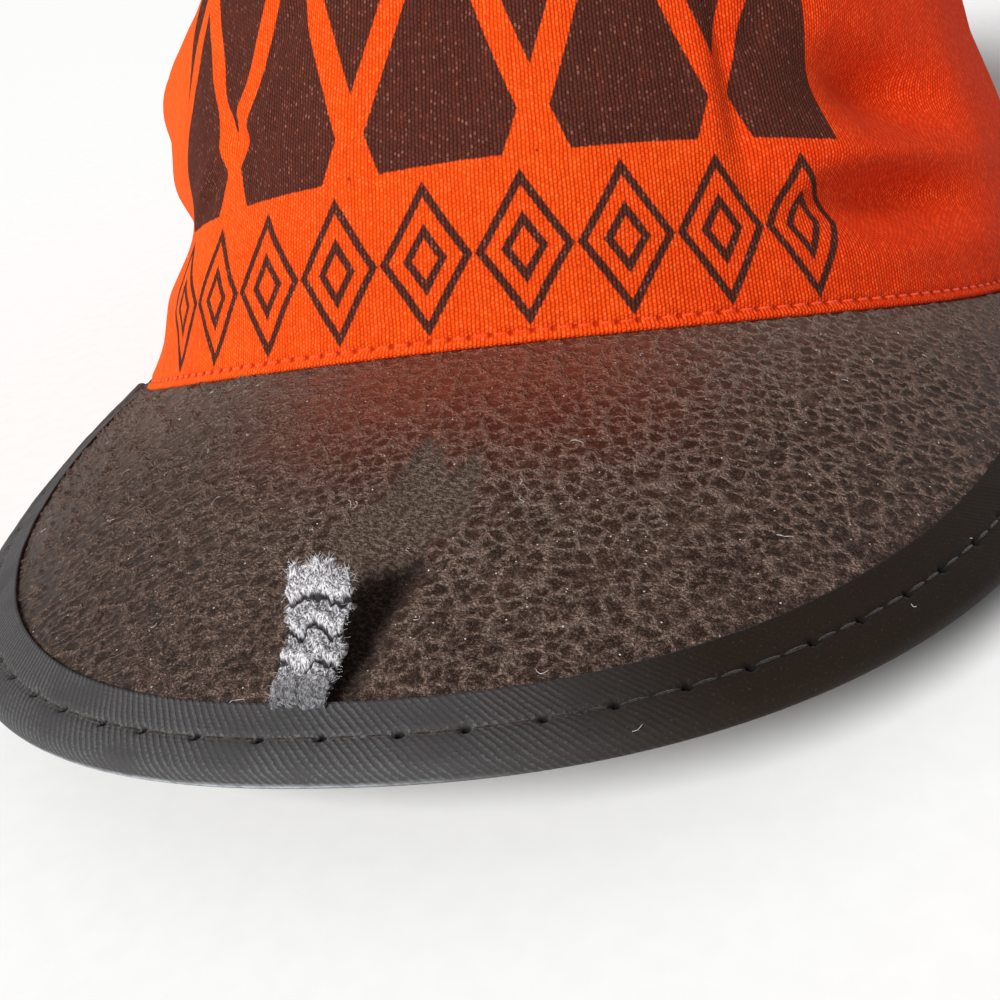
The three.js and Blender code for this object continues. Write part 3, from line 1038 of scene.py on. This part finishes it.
def twillMaterial():
    material, tree, shader = newMaterial("blackTwill", Specular_IOR_Level=0.15, Sheen_Weight=0.05,
                                         Sheen_Roughness=0.4, Sheen_Tint=(0.9, 0.95, 1, 1))
    flat = sheetPlace(tree)
    hole, groove, rim = readMarks(tree, "hole", "groove", "rim")
    bent, inwards = split(tree, warped(tree, flat, 0.5, 0.22))
    slant = calc(tree, "ADD", bent, inwards)
    ribs = calc(tree, "SINE", times(tree, slant, 2 * math.pi / tape["ribPitch"]))
    knots = calc(tree, "SINE", times(tree, inwards, 2 * math.pi / tape["knotPitch"]))
    along = split(tree, flat)[0]
    fuzz = noiseField(tree, flat, 3.5, 2.0, 0.75)

    # the ribs are worn in patches and fade towards the right, where the tape is painted in shade
    threads = calc(tree, "ADD", ramp(tree, ribs, -0.9, 0.9), times(tree, knots, 0.1))
    threads = times(tree, threads, ramp(tree, noiseField(tree, flat, 0.12, 2.0), 0.3, 0.6, 0.35, 1.0),
                    ramp(tree, along, 8.0, 42.0, 1.0, 0.2))
    broken = times(tree, threads, ramp(tree, fuzz, 0.36, 0.6, 0.45, 1.25))
    frayed = times(tree, groove, ramp(tree, fuzz, 0.48, 0.66, 0.0, 0.4),
                   ramp(tree, along, 12.0, 32.0, 1.0, 0.15))
    # painted shade: the stitch groove goes near black towards the right
    slit = times(tree, groove, ramp(tree, along, 12.0, 36.0, 0.0, 0.85))
    # painted highlight: a pale line along the worn rim at the left, on the lit side
    edge = times(tree, rim, ramp(tree, noiseField(tree, flat, 0.8, 3.0, 0.6), 0.35, 0.6, 0.4, 0.85),
                 ramp(tree, along, -5.0, 20.0, 1.0, 0.0))
    # painted shade: brown-black at the right and near black in the groove and needle holes
    colour = painted(tree, tape["charcoal"], (ramp(tree, broken, 0.3, 1.0), tape["ribTop"]),
                     (ramp(tree, along, 2.0, 38.0, 0.0, 0.96), tape["paintedShadeBrown"]),
                     (ramp(tree, fuzz, 0.58, 0.9, 0.0, 0.25), tape["lint"]), (frayed, tape["lint"]),
                     (slit, tape["hole"]), (edge, tape["wearAndHighlight"]),
                     (ramp(tree, hole, 0.2, 0.7), tape["hole"]))
    height = calc(tree, "ADD", threads, times(tree, fuzz, 0.7))
    connect(tree, shader, colour, ramp(tree, threads, 0.0, 1.0, 0.9, 0.68), height, tape["bumpDepth"])
    return material


visorTape = newSheet("visorTape", tape["grid"], tapePlace, tapePattern,
                     {"hole": tapeMark(1), "groove": tapeMark(0), "rim": tapeRim})
thicken(visorTape, tape["thickness"])
settle(visorTape, twillMaterial(), "black_twill_tape", "visor_binding")


# The torn strip of covering that curls up from the tape
flap = {
    "width": 5.9,
    "length": 11.4,
    "thickness": 0.75,
    "rootX": -3.1,
    "turn": 3.5,
    "lift": 5.6,
    "clearance": 0.3,
    "lying": 0.95,  # the share of its length that still shows in plan
    "underTape": 0.6,
    "crackDepth": 0.55,
    "cracks": (0.3, 0.52, 0.74),  # shares of the length
    "wander": ((0.75, 1.3, 3.7), (0.3, 0.4, 6.7)),
    "felt": ((0.28, 1.1, 8.8), (0.26, 0.42, 4.8)),
    "tear": ((0.5, 1.5, 6.1), (0.3, 0.5, 2.1)),
    "bumpDepth": 0.45,
    "grid": (84, 150),
    "pale": (0.82, 0.8, 0.82, 1),
    "grey": (0.075, 0.072, 0.082, 1),
    "crack": (0.02, 0.018, 0.02, 1),
}


def crackAway(number, side, up):
    # how far a point lies above one of the cracks, which run in two low arches
    arches = 0.8 * abs(math.sin(side * 0.85 + 1.3 * number * number)) - 0.4
    wander = lumps(side, number * 5.0, *flap["wander"])
    return (up - flap["cracks"][number]) * flap["length"] - arches - wander


def flapCrack(across, up):
    # dark wavy cracks across the strip
    side = (across - 0.5) * flap["width"]
    depth = 0.0
    for number in range(len(flap["cracks"])):
        width = 0.21 + 0.14 * spot(side, number * 9.0, 0.8, 6.4)
        gape = smooth(-0.6, 0, spot(side, number * 7.0, 2.6, 5.9))
        depth = max(depth, bump(crackAway(number, side, up), 0, width) * gape)
    return depth


def flapRelief(across, up):
    # each block is puffed up above its crack, and the fibres stand in lumps
    side = (across - 0.5) * flap["width"]
    relief = lumps(side, up * 12, *flap["felt"])
    for number in range(len(flap["cracks"])):
        away = crackAway(number, side, up)
        relief += 0.32 * bump(away, 0.7, 0.6) - 0.2 * bump(away, -0.7, 0.5)
    return relief


def flapPlace(across, up):
    tear = lumps(up * flap["length"], 40 * (across > 0.5), *flap["tear"])
    swell = 0.05 * bump(up, 0.85, 0.2) - 0.08 * bump(up, 0.5, 0.25) - 0.12 * smooth(0.2, 0, up)
    wide = flap["width"] * (0.95 + swell) + tear
    side = (across - 0.5) * wide - 0.6 * smooth(0.35, 0.05, up) - 0.2 * math.sin(up * 7)
    tip = 0.9 * spot(across * flap["width"], 3, 1.6, 2.7) + 0.6 * spot(across * flap["width"], 9, 0.5, 2.2)
    tip -= 0.7 * (2 * across - 1) ** 4
    along = up + tip / flap["length"] * smooth(0.75, 1, up)
    reach = along * flap["length"] * flap["lying"]
    turn = math.radians(flap["turn"])
    x = flap["rootX"] + side * math.cos(turn) + reach * math.sin(turn)
    rootY = edgeY(flap["rootX"]) + tape["width"] - flap["underTape"]
    y = rootY - side * math.sin(turn) + reach * math.cos(turn)
    lift = flap["lift"] * max(0.0, along) ** 1.4 + 0.6 * math.cos(side * 0.7) * along
    lift += flapRelief(across, up) - flap["crackDepth"] * flapCrack(across, up)
    return boardPoint(x, y, visor["thickness"] / 2 + flap["clearance"] + flap["thickness"] + lift)


def flapRoot(across, up):
    return smooth(0.32, 0.1, up)


def flapPattern(across, up):
    return (across - 0.5) * flap["width"], up * flap["length"]


def feltMaterial():
    material, tree, shader = newMaterial("greyFelt", Specular_IOR_Level=0.2, Sheen_Weight=0.1,
                                         Sheen_Roughness=0.6)
    flat = sheetPlace(tree)
    crack, root, high = readMarks(tree, "crack", "root", "high")
    fibres = noiseField(tree, scaled(tree, warped(tree, flat, 1.1, 0.6), 4.8, 4.0), 1.0, 2.0, 0.8)
    # painted light: the strip is paler where its blocks stand higher, and darker towards its root
    raised = calc(tree, "MULTIPLY_ADD", high, 0.16, fibres)
    shade = times(tree, ramp(tree, raised, 0.38, 0.66), ramp(tree, root, 0.0, 1.0, 1.0, 0.32))
    colour = painted(tree, flap["grey"], (shade, flap["pale"]),
                     (ramp(tree, crack, 0.15, 0.8), flap["crack"]))
    connect(tree, shader, colour, ramp(tree, fibres, 0.2, 0.8, 0.98, 0.85), fibres, flap["bumpDepth"])
    return material


tornStrip = newSheet("tornStrip", flap["grid"], flapPlace, flapPattern,
                     {"crack": flapCrack, "high": flapRelief, "root": flapRoot})
thicken(tornStrip, flap["thickness"])
settle(tornStrip, feltMaterial(), "grey_backing", "torn_flap")


# Threads and fibres
thread = {
    "orange": (0.72, 0.045, 0.002, 1),
    "orangeLight": (0.92, 0.08, 0.005, 1),
    "black": (0.009, 0.006, 0.005, 1),
    "blackLight": (0.036, 0.027, 0.021, 1),
    "pale": (0.42, 0.4, 0.4, 1),
    "paleLight": (0.75, 0.73, 0.72, 1),
    "twist": 2600,  # lumps of the thread's pattern in a metre
    "bumpDepth": 0.04,
    "seed": 27,
    "hairs": 560,
    "hairRadius": 0.015,
    "curls": 34,
    "curlRadius": 0.028,
    "curlSide": 62,  # the curls lie within this of the middle
}


def threadMaterial(tone):
    material, tree, shader = newMaterial(tone + "Thread", Specular_IOR_Level=0.3, Sheen_Weight=0.2)
    place = addNode(tree, "ShaderNodeTexCoord").outputs["Object"]
    twist = noiseField(tree, scaled(tree, place, *[thread["twist"]] * 3), 1.0, 3.0, 0.6)
    colour = painted(tree, thread[tone], (ramp(tree, twist, 0.35, 0.65), thread[tone + "Light"]))
    connect(tree, shader, colour, ramp(tree, twist, 0.2, 0.8, 0.9, 0.7), twist, thread["bumpDepth"])
    return material


def newStitches(name, spans, place, thickness):
    # one small bead of thread for each span of the seam
    stitches = bmesh.new()
    for span in spans:
        start, end = (place(length) for length in span)
        along = end - start
        turned = along.to_track_quat("X", "Z").to_matrix().to_4x4()
        size = Matrix.Diagonal((along.length / 2, thickness / 2, thickness / 2, 1))
        bead = Matrix.Translation((start + end) / 2) @ turned @ size
        bmesh.ops.create_uvsphere(stitches, u_segments=8, v_segments=5, radius=1,
                                  matrix=Matrix.Diagonal((mm, mm, mm, 1)) @ bead)
    return newPiece(name, stitches)


def hemThreadPlace(length):
    angle, rise = hemAngle(length), crown["stitchRise"]
    lift = clothWave(angle, rise, crown["frontTop"]) + hemRoll(rise) + crown["threadLift"]
    return sunk(wallPoint(angle, hemHeight(angle) + rise, lift), angle, rise)


def hemSpans():
    step = 2 * hemHalf / stitchCount
    return [[(number + share) * step - hemHalf for share in crown["stitchEnds"]]
            for number in range(stitchCount)]


def tapeThreadPlace(length):
    plan = rimPlan(rimTurn(length), tape["stitchInset"])
    return boardPoint(plan.x, plan.y, tape["rimRadius"] - tape["threadSink"])


def tapeSpans():
    # two beads between each pair of holes, so that the thread follows the rim
    spans = []
    count = int(rimHalf / tape["holePitch"])
    for number in range(-count, count):
        first = holeLength(number) + tape["holeRadius"]
        last = holeLength(number + 1) - tape["holeRadius"]
        middle = (first + last) / 2
        spans += [(first, middle), (middle, last)]
    return spans


hemStitching = newStitches("hemStitching", hemSpans(), hemThreadPlace, crown["threadThickness"])
settle(hemStitching, threadMaterial("orange"), "orange_cotton")
tapeStitching = newStitches("tapeStitching", tapeSpans(), tapeThreadPlace, tape["threadThickness"])
settle(tapeStitching, threadMaterial("black"), "black_twill_tape")


def newFibres(name, strands, radius):
    hairs = bpy.data.curves.new(name, "CURVE")
    hairs.dimensions = "3D"
    hairs.bevel_depth = radius * mm
    hairs.bevel_resolution = 0
    hairs.use_fill_caps = True
    for strand in strands:
        line = hairs.splines.new("POLY")
        line.points.add(len(strand) - 1)
        for point, place in zip(line.points, strand):
            point.co = (*(place * mm), 1)
    source = bpy.data.objects.new(name + "Lines", hairs)
    mesh = bpy.data.meshes.new_from_object(source)
    mesh.name = name
    bpy.data.objects.remove(source)
    return addObject(name, mesh)


def flapHairs(picker, count):
    # fine hairs round the strip's torn edges, most of them at the tip
    strands = []
    for _ in range(count):
        at = picker.random()
        if at < 0.7:
            across, up = picker.random(), picker.uniform(0.9, 1)
            heading = Vector((picker.uniform(-0.7, 0.6), 0.6, picker.uniform(0.0, 0.6)))
        elif at < 0.85:
            across, up = float(picker.random() < 0.5), picker.uniform(0.05, 1)
            heading = Vector((across * 2 - 1, picker.uniform(-0.6, 0.9), picker.uniform(-0.4, 0.3)))
        else:  # a light nap over the whole strip
            across, up = picker.random(), picker.random()
            heading = Vector((picker.uniform(-1, 1), picker.uniform(-1, 1), 0.45))
        point = flapPlace(across, up) + Vector((0, 0, -0.2))
        step = heading.normalized() * picker.uniform(0.04, 0.12 if at > 0.7 else 0.2)
        strand = [point]
        for _ in range(4):
            step = step + Vector([picker.uniform(-0.07, 0.07) for _ in range(3)])
            point = point + step
            strand.append(point)
        strands.append(strand)
    return strands


def lintCurls(picker, count):
    # loose curly fibres lying on the covering
    strands = []
    while len(strands) < count:
        x = picker.uniform(-thread["curlSide"], thread["curlSide"])
        if edgeY(x) + 5 >= seamY(x):
            continue
        y = picker.uniform(edgeY(x) + 1, seamY(x) - 2)
        heading = picker.uniform(0, 2 * math.pi)
        curl = picker.uniform(-0.9, 0.9)
        stride = picker.uniform(0.12, 0.34)
        strand = []
        for step in range(6):
            overTape = smooth(8, 7, y - edgeY(x))
            rise = visor["thickness"] / 2 + 0.15 + 0.5 * overTape + 0.12 * abs(math.sin(step * 1.3))
            strand.append(boardPoint(x, y, rise))
            x += stride * math.cos(heading)
            y += stride * math.sin(heading)
            heading += curl + picker.uniform(-0.4, 0.4)
        strands.append(strand)
    return strands


picker = random.Random(thread["seed"])
paleThread = threadMaterial("pale")
flapFuzz = newFibres("flapFuzz", flapHairs(picker, thread["hairs"]), thread["hairRadius"])
settle(flapFuzz, paleThread, "grey_backing")
lint = newFibres("lint", lintCurls(picker, thread["curls"]), thread["curlRadius"])
settle(lint, paleThread, "grey_backing")


# Floor, light and camera
studio = {
    "floorHalf": 8.0,
    "floorTone": (0.95, 0.95, 0.945, 1),
    "floorSpeck": (0.97, 0.97, 0.965, 1),
    "floorGrain": 300.0,
    "floorRelief": 0.01,
    "sunPower": 4.2,
    "sunDegrees": 24,
    "sunFrom": (-0.36, -0.77, 0.6),
    "sky": (1, 1, 1, 1),
    "skyPower": 0.27,
}


def addFloor():
    paper, tree, shader = newMaterial("floorPaper", Specular_IOR_Level=0.1)
    place = addNode(tree, "ShaderNodeTexCoord").outputs["Object"]
    grit = noiseField(tree, place, studio["floorGrain"], 3.0)
    tone = painted(tree, studio["floorTone"], (ramp(tree, grit, 0.3, 0.7), studio["floorSpeck"]))
    connect(tree, shader, tone, ramp(tree, grit, 0.0, 1.0, 0.9, 0.96), grit, studio["floorRelief"])
    ground = bmesh.new()
    bmesh.ops.create_grid(ground, x_segments=8, y_segments=8, size=studio["floorHalf"])
    floor = newPiece("floor", ground)
    floor.data.materials.append(paper)


def addLight():
    world = bpy.data.worlds.new("studio")
    world.use_nodes = True
    sky = world.node_tree.nodes["Background"].inputs
    sky["Color"].default_value = studio["sky"]
    sky["Strength"].default_value = studio["skyPower"]
    bpy.context.scene.world = world
    sun = bpy.data.lights.new("window", "SUN")
    sun.energy = studio["sunPower"]
    sun.angle = math.radians(studio["sunDegrees"])
    sunLight = addObject("window", sun)
    sunLight.rotation_euler = Vector(studio["sunFrom"]).to_track_quat("Z", "Y").to_euler()


addFloor()
addLight()
bpy.context.scene.view_settings.view_transform = "Standard"

viewpoint = {
    "azimuth": 16.34,
    "elevation": 27.26,
    "roll": 12.29,
    "distance": 141.82,
    "target": (5.22, -85.25, 11.97),
    "lens": 44.045,
    "sensor": 36,
    "near": 5,
}


def addCamera():
    azimuth, elevation, roll = (math.radians(viewpoint[key]) for key in ("azimuth", "elevation", "roll"))
    turned = (Matrix.Rotation(azimuth, 4, "Z") @ Matrix.Rotation(math.pi / 2 - elevation, 4, "X")
              @ Matrix.Rotation(-roll, 4, "Z"))
    lens = bpy.data.cameras.new("camera")
    lens.sensor_width = viewpoint["sensor"]
    lens.lens = viewpoint["lens"]
    lens.clip_start = viewpoint["near"] * mm
    camera = addObject("camera", lens)
    place = Vector(viewpoint["target"]) + turned @ Vector((0, 0, viewpoint["distance"]))
    camera.matrix_world = Matrix.Translation(place * mm) @ turned
    bpy.context.scene.camera = camera


addCamera()
print("studio ready")
